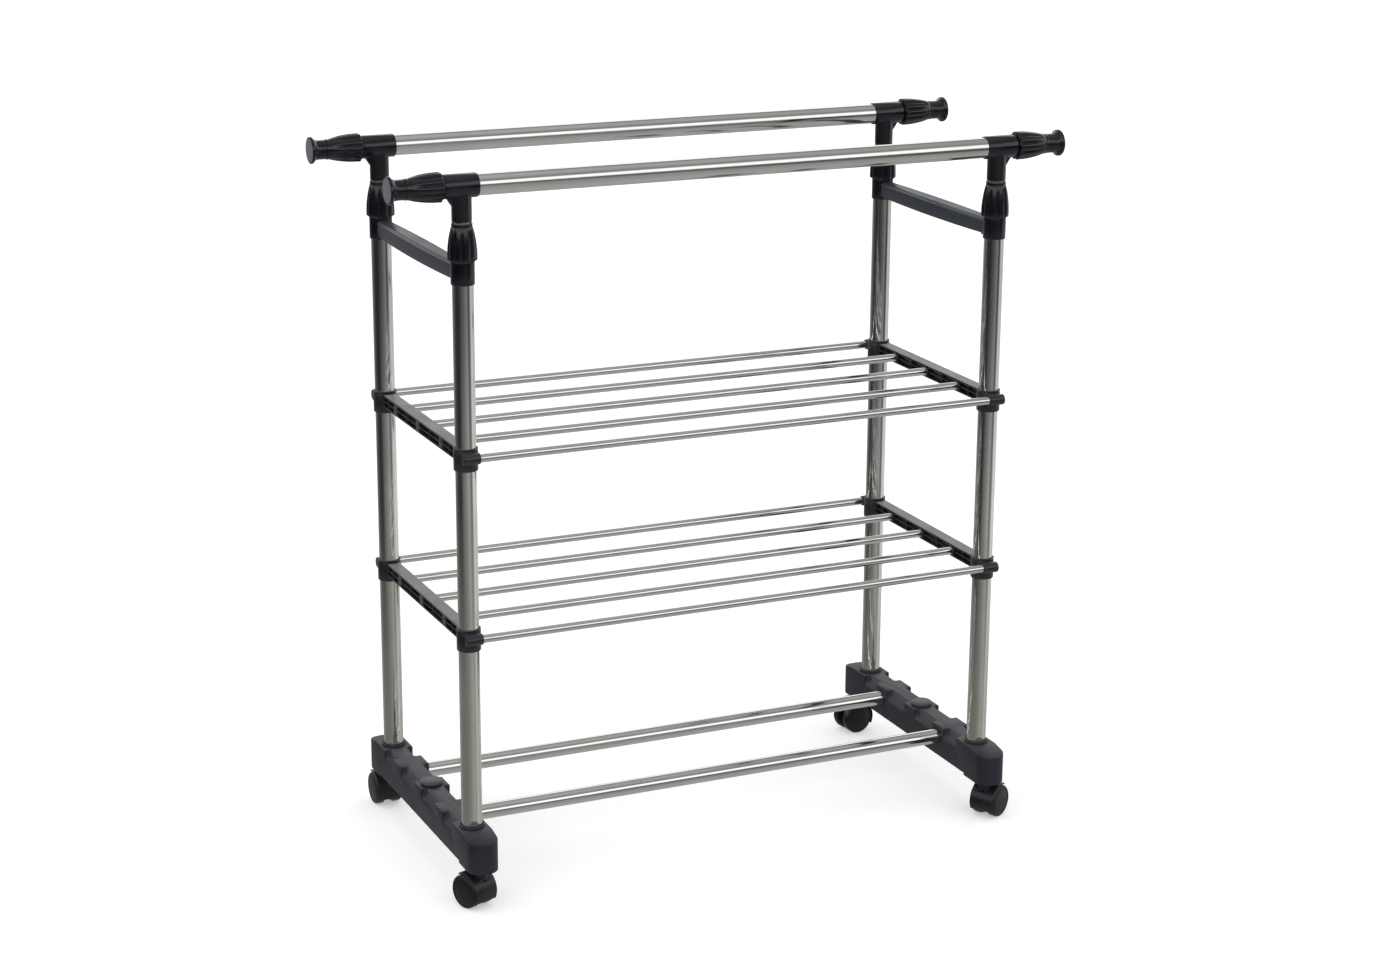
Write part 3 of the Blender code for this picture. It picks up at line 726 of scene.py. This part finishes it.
# %% [markdown]
# ## Handles
#
# Seen from above a handle swells towards its middle like a lens, and its outer face is deeper
# there too. A bar is divided along its length, each ring of points is pushed out by how near it
# is to the middle, and the long upper edges are then cut back to the sloping facets. The collars
# belong to the same moulding but shine more, so their faces take the glossier finish.

# %% One handle for each side
handle_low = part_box("handle_left")[0]
RINGS = 25
SWELL = 0.4375  # how much wider the middle is than the ends, as a share
BELLY = 1.0 * MM  # how much deeper the middle is
COLLAR = 14.2 * MM  # faces nearer a post's axis than this belong to its collar


def handle():
    """A handle about its own middle, its collars standing on height 0."""
    bar = block("bar", (-8 * MM, -half_y, 4.5 * MM), (8 * MM, half_y, 23.5 * MM))
    edit(bar, "EDGE")
    pick(bar, lambda edge: abs(edge.verts[0].co.y - edge.verts[1].co.y) > 0.1, "edges")
    bpy.ops.mesh.subdivide(number_cuts=RINGS - 2)
    for i in range(RINGS):
        y = half_y * (i / (RINGS // 2) - 1)
        near_middle = 1 - (y / half_y) ** 2
        edit(bar, "VERT")
        pick(bar, lambda vert: abs(vert.co.y - y) < 0.5 * MM, "verts")
        wide = 1 + SWELL * near_middle
        bpy.ops.transform.resize(value=(wide, 1, 1), center_override=(0, y, 0))
        pick(bar, lambda vert: abs(vert.co.y - y) < 0.5 * MM and vert.co.z < 10 * MM, "verts")
        bpy.ops.transform.translate(value=(0, 0, -BELLY * near_middle))
    edit(bar, "EDGE")
    at_top = lambda vert: vert.co.z > 23 * MM
    pick(bar, lambda edge: all(at_top(vert) for vert in edge.verts) and
         abs(edge.verts[0].co.y - edge.verts[1].co.y) > 5 * MM and
         abs(edge.verts[0].co.x) > 7 * MM, "edges")
    bpy.ops.mesh.bevel(offset=3.2 * MM, segments=1, affect="EDGES")
    settle(bar)
    weld(bar)
    for end in (1, -1):
        y = end * (half_y - 17.5 * MM)
        lug = block("lug", (-5.5 * MM, y - 5 * MM, 1.2 * MM), (5.5 * MM, y + 5 * MM, 8 * MM))
        unite(bar, lug)
    soften(bar, 0.7 * MM, 2, 20)
    weld(bar)
    profile = [(13.5, 0), (13.85, 0.3), (14, 0.8), (14, 26.2), (13.85, 26.7), (13.5, 27)]
    for end in (1, -1):
        at = (0, end * half_y, 0)
        unite(bar, turned("collar", [(r * MM, z * MM) for r, z in profile], at))
        carve(bar, turned("post", [(12.75 * MM, -5 * MM), (12.75 * MM, 40 * MM)], at))
    active(bar)
    bpy.ops.object.shade_smooth_by_angle(angle=SMOOTH)
    return bar


def from_post(point, sign):
    """How far a point is from the nearer post's axis, on one side of the rack."""
    return math.hypot(abs(point.y) - half_y, point.x - sign * half_x)


grip = handle()
for side, sign in SIDES.items():
    at = shift(sign * half_x, 0, handle_low.z)
    moulding = copy(grip, f"{side}_handle_moulding", at)
    mount(moulding, "frame", f"handle_{side}", slot="black_gloss", finish=satin)
    moulding.data.materials.append(black)
    edit(moulding)
    pick(moulding, lambda face: from_post(face.calc_center_median(), sign) < COLLAR)
    moulding.active_material_index = 1
    bpy.ops.object.material_slot_assign()
    bpy.ops.object.mode_set(mode="OBJECT")
bpy.data.objects.remove(grip)
print("handle:", len(moulding.data.polygons), "faces,", [round(d, 4) for d in moulding.dimensions])

# %% [markdown]
# ## Twist locks
#
# A lock grips the inner tube when it is turned. It is a lathe shape with ten petals: the points
# that lie between two petals are pulled in towards the axis, deepest along the groove and fading
# out before the neck. At the wide end the petals stand proud of a smaller ring, as if cut off.

# %% One lock, copied to its eight places
PETALS = 10
AROUND = 8 * PETALS
DEPTH = 0.085  # of a groove, as a share of the radius
FADE_END, FADE_LENGTH = 37 * MM, 10 * MM
LOCK = [
    (15.3, 0.0), (15.6, 0.3), (15.7, 0.9), (17.1, 1.0), (17.25, 1.4), (17.2, 6.0), (17.1, 10.0),
    (16.9, 14.0), (16.5, 18.0), (16.0, 22.0), (15.4, 26.0), (14.7, 30.0), (13.9, 33.5),
    (13.1, 36.5), (12.6, 38.3), (12.15, 38.9), (12.1, 39.7), (12.25, 40.1), (12.25, 42.9),
    (11.9, 43.5),
]


def groove(height):
    """How deep the grooves between petals are at a height, as a share of the radius."""
    if not 0.95 * MM < height < FADE_END:
        return 0.0
    return DEPTH * min(1.0, (FADE_END - height) / FADE_LENGTH)


def twist_lock():
    lock = turned("lock", [(r * MM, z * MM) for r, z in LOCK], columns=AROUND)
    edit(lock, "VERT")
    slot = lambda vert: round(math.atan2(vert.co.y, vert.co.x) / (2 * math.pi) * AROUND) % 8
    for column, share in ((0, 1.0), (1, 0.62), (7, 0.62), (2, 0.12), (6, 0.12)):
        for radius, height in LOCK:
            shrink = 1 - share * groove(height * MM)
            if shrink == 1:
                continue
            on_row = lambda vert: (
                abs(vert.co.z - height * MM) < 0.02 * MM and slot(vert) == column
            )
            pick(lock, on_row, "verts")
            bpy.ops.transform.resize(value=(shrink, shrink, 1), center_override=(0, 0, 0))
    settle(lock)
    carve(lock, turned("seat", [(12.8 * MM, -2 * MM), (12.8 * MM, 21 * MM)]))
    carve(lock, turned("bore", [(9.75 * MM, 15 * MM), (9.75 * MM, 50 * MM)]))
    carve(lock, turned("mouth", [(10.9 * MM, 42.6 * MM), (10.9 * MM, 45 * MM)]))
    active(lock)
    bpy.ops.object.shade_smooth_by_angle(angle=math.radians(40))
    return lock


lock = twist_lock()
for row in ROWS:
    for side, sign in SIDES.items():
        origin = Vector(joint_at[f"post_lock_{row}_{side}"]["pos_m"])
        upright = copy(lock, f"{row}_{side}_post_lock", Matrix.Translation(origin))
        body = f"post_lock_{row}_{side}"
        mount(upright, body, body, slot="black_gloss", finish=black)
        origin = Vector(joint_at[f"rail_lock_{row}_{side}"]["pos_m"])
        lying = Matrix.Translation(origin) @ turn(90 * sign, "Y")
        level_lock = copy(lock, f"{row}_{side}_rail_lock", lying)
        body = f"rail_lock_{row}_{side}"
        mount(level_lock, body, body, slot="black_gloss", finish=black)
bpy.data.objects.remove(lock)
print("lock:", len(upright.data.polygons), "faces")

# %% [markdown]
# ## T fittings
#
# The barrel and the stem are lathe shapes with softened rims, joined to a small gusset under the
# longer arm. The tube holes are bored last, so that they pass through everything.

# %% One T, copied to its four places
stem_length = rail_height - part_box("tee_back_right")[0].z


def tee():
    """A T about the crossing of its axes, its longer arm towards +X."""
    ends = [
        (13.0, -18.5), (13.7, -18.2), (14.0, -17.4), (14.0, 21.6), (13.8, 22.3), (13.3, 22.7),
        (13.0, 22.8), (13.0, 24.0),
    ]
    body = place(turned("barrel", [(r * MM, z * MM) for r, z in ends]), TO_RIGHT)
    bottom = -stem_length / MM
    stem = [(11.3, bottom), (11.6, bottom + 0.3), (11.7, bottom + 0.9), (11.7, 0)]
    stem = turned("stem", [(r * MM, z * MM) for r, z in stem])
    unite(body, stem)
    gusset = block("gusset", (9 * MM, -3 * MM, -22.5 * MM), (20.5 * MM, 3 * MM, -10 * MM))
    edit(gusset, "VERT")
    pick(gusset, lambda vert: vert.co.x > 20 * MM and vert.co.z < -22 * MM, "verts")
    bpy.ops.transform.translate(value=(-8.5 * MM, 0, 0))
    settle(gusset)
    unite(body, gusset)
    soften(body, 0.7 * MM, 3, 30)
    rail = turned("rail", [(12.7 * MM, -30 * MM), (12.7 * MM, 30 * MM)])
    carve(body, place(rail, TO_RIGHT))
    carve(body, turned("post", [(9.75 * MM, -stem_length - 5 * MM), (9.75 * MM, 0)]))
    active(body)
    bpy.ops.object.shade_smooth_by_angle(angle=SMOOTH)
    return body


fitting = tee()
for row in ROWS:
    for side, sign in SIDES.items():
        at = shift(sign * half_x, post_at[row, side].y, rail_height)
        piece = copy(fitting, f"{row}_{side}_tee_fitting", at @ turn(0 if sign > 0 else 180))
        mount(piece, f"lift_{row}", f"tee_{row}_{side}", slot="black_gloss", finish=black)
bpy.data.objects.remove(fitting)
print("T fitting:", len(piece.data.polygons), "faces")

# %% [markdown]
# ## End caps
#
# The cap is a ringed sleeve that opens like a trumpet into a thin disc. The disc's face is a
# separate, paler insert with a fine shadow line around it.

# %% End caps
CAP = [
    (11.5, 0.0), (11.75, 0.3), (11.75, 2.0), (11.45, 2.2), (11.45, 2.7), (11.75, 2.9),
    (11.75, 5.0), (11.45, 5.2), (11.45, 5.7), (11.75, 5.9), (11.75, 9.0), (11.95, 10.6),
    (12.4, 12.2), (13.1, 13.6), (14.1, 14.8), (15.3, 15.7), (16.0, 16.2), (16.25, 16.8),
    (16.25, 18.6), (16.0, 19.2), (15.4, 19.45), (14.5, 19.45), (14.4, 19.0),
]
FACE = [(14.1, 18.9), (14.2, 19.3), (13.9, 19.7), (12.0, 19.9), (8.0, 19.97), (3.0, 20.0)]
for row in ROWS:
    for side, sign in SIDES.items():
        node, body = f"end_cap_{row}_{side}", f"extension_{row}_{side}"
        low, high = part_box(node)
        start_x = low.x if sign > 0 else high.x
        center = middle(node)
        at = shift(start_x, center.y, center.z) @ turn(90 * sign, "Y")
        sleeve = turned(f"{row}_{side}_end_sleeve", [(r * MM, z * MM) for r, z in CAP])
        carve(sleeve, turned("bore", [(9.75 * MM, -2 * MM), (9.75 * MM, 15.5 * MM)]))
        active(place(sleeve, at))
        bpy.ops.object.shade_smooth_by_angle(angle=SMOOTH)
        mount(sleeve, body, node, slot="end_plastic", finish=black)
        face = turned(f"{row}_{side}_end_face", [(r * MM, z * MM) for r, z in FACE])
        active(place(face, at))
        bpy.ops.object.shade_smooth_by_angle(angle=SMOOTH)
        mount(face, body, slot="end_plastic", finish=pale)
print("end cap:", [round(d, 4) for d in sleeve.dimensions])

# %% [markdown]
# ## Casters
#
# Twin wheels turn on one axle on either side of a web. The web carries a fender over the side
# that faces the pin, and a short neck joins it to the beam. A ring cut from a lathe shape makes
# the fender, since two half-spaces can then trim it to its arc. Each caster stands at the angle
# that its wheels have in the frame.

# %% Casters
wheel_low, wheel_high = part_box("caster_wheels_front_left")
axle_z = (wheel_low.z + wheel_high.z) / 2
TIRE = (wheel_high.z - wheel_low.z) / 2 / MM
TRAIL = 13 * MM
FENDER_START, FENDER_END = -26, 112  # degrees up from the side that faces the pin


def caster_wheels():
    """Both wheels and the axle, about the Y axis."""
    shape = [
        (3.0, 5.75), (TIRE - 1.8, 5.75), (TIRE - 0.6, 6.2), (TIRE, 7.2), (TIRE, 14.6),
        (TIRE - 0.5, 16.0), (TIRE - 1.6, 17.0), (TIRE - 2.8, 17.3), (TIRE - 3.2, 17.25),
        (TIRE - 3.5, 16.7), (TIRE - 4.0, 16.6), (TIRE - 4.6, 16.95), (11.0, 17.35), (6.2, 17.6),
        (6.0, 17.35), (5.4, 17.35), (5.2, 17.65), (1.5, 17.74),
    ]
    wheel = turned("wheel", [(r * MM, z * MM) for r, z in shape])
    other = copy(wheel, "other", turn(180, "X"))
    axle = turned("axle", [(3 * MM, -8 * MM), (3 * MM, 8 * MM)])
    unite(wheel, other, axle)
    return place(wheel, TO_BACK)


def caster_hood():
    """The web, fender, neck and pin. The swivel axis is Z, and the axle is TRAIL towards -X."""
    inner, outer = TIRE + 1.2, TIRE + 3
    half_wide = 16.7
    shell = turned("shell", [(r * MM, z * MM) for r, z in (
        (outer - 0.8, -half_wide), (outer, -half_wide + 0.8), (outer, half_wide - 0.8),
        (outer - 0.8, half_wide))])
    carve(shell, turned("room", [(inner * MM, -20 * MM), (inner * MM, 20 * MM)]))
    web = turned("web", [((TIRE + 2) * MM, -4.75 * MM), ((TIRE + 2) * MM, 4.75 * MM)])
    unite(web, shell)
    place(web, TO_BACK)
    below = block("below", (-50 * MM, -30 * MM, -50 * MM), (50 * MM, 30 * MM, 0))
    behind = block("behind", (-50 * MM, -30 * MM, -50 * MM), (0, 30 * MM, 50 * MM))
    carve(web, place(below, turn(-FENDER_START, "Y")), place(behind, turn(90 - FENDER_END, "Y")))
    hub = turned("hub", [(6.8 * MM, -4.75 * MM), (6.8 * MM, 4.75 * MM)])
    unite(web, place(hub, TO_BACK))
    eye = turned("eye", [(1.5 * MM, 18 * MM), (1.5 * MM, 30 * MM)])
    carve(web, place(eye, turn(50, "Y")))
    soften(web, 0.5 * MM, 2)
    place(web, shift(-TRAIL, 0, axle_z))
    neck = [(8.5, -10.6), (8.5, -2.6), (8.3, -2.0), (8.3, -0.7), (5.0, -0.6), (5.0, 21.5)]
    neck = turned("neck", [(r * MM, z * MM) for r, z in neck], (0, 0, beam_low.z))
    for side in (1, -1):
        space = turned("space", [((TIRE + 2.1) * MM, 5.05 * MM), ((TIRE + 2.1) * MM, 22 * MM)])
        lay = shift(-TRAIL, 0, axle_z) @ (TO_BACK if side > 0 else turn(90, "X"))
        carve(neck, place(space, lay))
    unite(web, neck)
    hole = turned("hole", [(3.25 * MM, -9 * MM), (3.25 * MM, 9 * MM)])
    carve(web, place(hole, shift(-TRAIL, 0, axle_z) @ TO_BACK))
    active(web)
    bpy.ops.object.shade_smooth_by_angle(angle=SMOOTH)
    return web


wheels = caster_wheels()
hood = caster_hood()
for row in ROWS:
    for side in SIDES:
        pivot = Vector(joint_at[f"swivel_{row}_{side}"]["pos_m"])
        axle = Vector(joint_at[f"wheels_{row}_{side}"]["pos_m"])
        facing = math.degrees(math.atan2(pivot.y - axle.y, pivot.x - axle.x))
        stand = shift(pivot.x, pivot.y) @ turn(facing)
        shell = copy(hood, f"{row}_{side}_caster_shell", stand)
        body, node = f"swivel_{row}_{side}", f"caster_hood_{row}_{side}"
        mount(shell, body, node, slot="slate_plastic", finish=hood_black)
        rolling = copy(wheels, f"{row}_{side}_twin_wheels", stand @ shift(-TRAIL, 0, axle_z))
        active(rolling)
        bpy.ops.object.shade_smooth_by_angle(angle=SMOOTH)
        body, node = f"wheels_{row}_{side}", f"caster_wheels_{row}_{side}"
        mount(rolling, body, node, slot="wheel_plastic", finish=wheel_black)
bpy.data.objects.remove(hood)
bpy.data.objects.remove(wheels)
print("caster:", len(shell.data.polygons), "and", len(rolling.data.polygons), "faces")

# %% [markdown]
# ## Floor, lights and surroundings
#
# The floor is a white sheet that runs off well past the view. It glows a little, as paper that is
# lit from below does, so that shadows on it stay faint. It isn't seen in reflections, because the
# surroundings below describe what the polish mirrors all the way down.

# %% Floor
floor = start(
    "studio_floor", bpy.ops.mesh.primitive_grid_add, x_subdivisions=8, y_subdivisions=8, size=120
)
finish, shader = surface("floor_sheet", Specular_IOR_Level=0.0, Emission_Strength=0.32)
shader.inputs["Emission Color"].default_value = (1, 1, 1, 1)
where = finish.node("TexCoord", out="Object")
cloudy = finish.noise(where, 0.6, detail=3.0)
finish.plug(shader.inputs["Base Color"], finish.mix(cloudy, (0.83, 0.83, 0.83), (0.85, 0.85, 0.85)))
finish.plug(shader.inputs["Roughness"], finish.level(cloudy, 0.3, 0.7, 0.85, 0.95))
floor.data.materials.append(finish.owner)
floor.visible_glossy = False
print("floor:", floor.dimensions.x, "m across")

# %% [markdown]
# ### Surroundings
#
# What polished tube looks like depends on what stands around it. Cards of white, grey and black
# circle the rack in three rows, and a long white light hangs overhead. Real panels would have to
# be placed by trial; a strength for each direction of the world is quicker and exact. Each row is
# a ramp over the angle around the rack, in turns, where 0.5 faces the viewer.

# %% Surroundings
FACING = -114.7  # degrees; the direction from the rack to the viewer, seen from above
CARDS_HIGH = [
    (0.0, 0.30), (0.17, 0.07), (0.25, 0.025), (0.30, 0.012), (0.40, 0.013), (0.47, 0.032),
    (0.53, 0.05), (0.625, 0.10), (0.665, 0.028), (0.70, 0.028), (0.745, 0.29), (0.85, 0.27),
    (1.0, 0.30),
]
CARDS_MIDDLE = [
    (0.0, 0.34), (0.12, 0.12), (0.19, 0.055), (0.25, 0.028), (0.34, 0.013), (0.385, 0.03),
    (0.44, 0.085), (0.50, 0.115), (0.605, 0.20), (0.66, 0.085), (0.70, 0.11), (0.745, 0.37),
    (0.85, 0.36), (1.0, 0.34),
]
CARDS_LOW = [
    (0.0, 0.26), (0.14, 0.15), (0.24, 0.095), (0.34, 0.09), (0.45, 0.10), (0.52, 0.125),
    (0.62, 0.185), (0.69, 0.17), (0.74, 0.28), (0.80, 0.20), (1.0, 0.26),
]
OVERHEAD = [
    (0.0, 0.016), (0.13, 0.02), (0.19, 0.60), (0.24, 0.66), (0.55, 0.66), (0.63, 0.12),
    (0.78, 0.145), (0.90, 0.21), (1.0, 0.28),
]
world = bpy.data.worlds.new("studio_surroundings")
bpy.context.scene.world = world
sky = Finish(world)
background = sky.tree.nodes["Background"]
direction = sky.node("TexCoord", out="Generated")
parts = [sky.node("SeparateXYZ", None, {0: direction}, out=i) for i in range(3)]
around = sky.node("Math", {"operation": "ARCTAN2"}, {0: parts[1], 1: parts[0]})
around = sky.node("Math", {"operation": "FRACT"}, {0: around / math.tau - FACING / 360 + 1.5})
cards = [
    sky.node("ValToRGB", {"stops": stops}, {0: around})
    for stops in (CARDS_HIGH, CARDS_MIDDLE, CARDS_LOW)
]
height = parts[2]
lower = sky.mix(sky.level(height, -0.21, -0.28), cards[0], cards[1])
lower = sky.mix(sky.level(height, -0.29, -0.345), lower, cards[2])
under = sky.level(height, -0.40, -1.0, 0.155, 0.215)
lower = sky.mix(sky.level(height, -0.40, -0.46), lower, under)
above = sky.node("ValToRGB", {"stops": OVERHEAD}, {0: height})
seen = sky.mix(height > 0.0, lower, above) * 2
camera_ray = sky.node("LightPath", out=0)
warmth = sky.level(height, -0.26, -0.34) * (1 - sky.level(height, -0.40, -0.46))
sky.plug(background.inputs["Color"], sky.mix(warmth, (1.0, 1.0, 1.0), (1.0, 0.985, 0.90)))
sky.plug(background.inputs["Strength"], seen * (1 - camera_ray) + camera_ray * 0.9)
print("surroundings:", len(cards), "rows of cards, and the light overhead")

# %% [markdown]
# ### Light
#
# The surroundings light the rack already. One very broad light from above adds the soft shade
# under its pieces, and it is kept out of reflections.

# %% Light
sun = bpy.data.lights.new("overhead_light", "SUN")
sun.energy = 1.3
sun.angle = math.radians(120)
overhead = bpy.data.objects.new("overhead_light", sun)
overhead.rotation_euler = (math.radians(18), math.radians(-14), 0)
overhead.visible_glossy = False
bpy.context.scene.collection.objects.link(overhead)
print("light:", sun.energy)

# %% [markdown]
# ## Camera
#
# The viewer stands well back to the left of the front, a little above the rails, and looks
# slightly down.

# %% Camera
YAW, PITCH, ROLL = 0.431, 0.282, 0.007
right = Vector((math.cos(YAW), -math.sin(YAW), 0))
forward = Vector((
    math.sin(YAW) * math.cos(PITCH), math.cos(YAW) * math.cos(PITCH), -math.sin(PITCH)
))
upward = right.cross(forward)
lens = bpy.data.cameras.new("viewer")
lens.lens = 72.63
lens.sensor_width = 36
lens.clip_start, lens.clip_end = 0.05, 200
viewer = bpy.data.objects.new("viewer", lens)
axes = Matrix((right, upward, -forward)).transposed().to_4x4()
viewer.matrix_world = shift(-1.4137, -3.1129, 1.439) @ axes @ turn(math.degrees(ROLL))
bpy.context.scene.collection.objects.link(viewer)
bpy.context.scene.camera = viewer
bpy.context.scene.view_settings.view_transform = "Standard"
print("camera:", [round(value, 3) for value in viewer.matrix_world.translation])
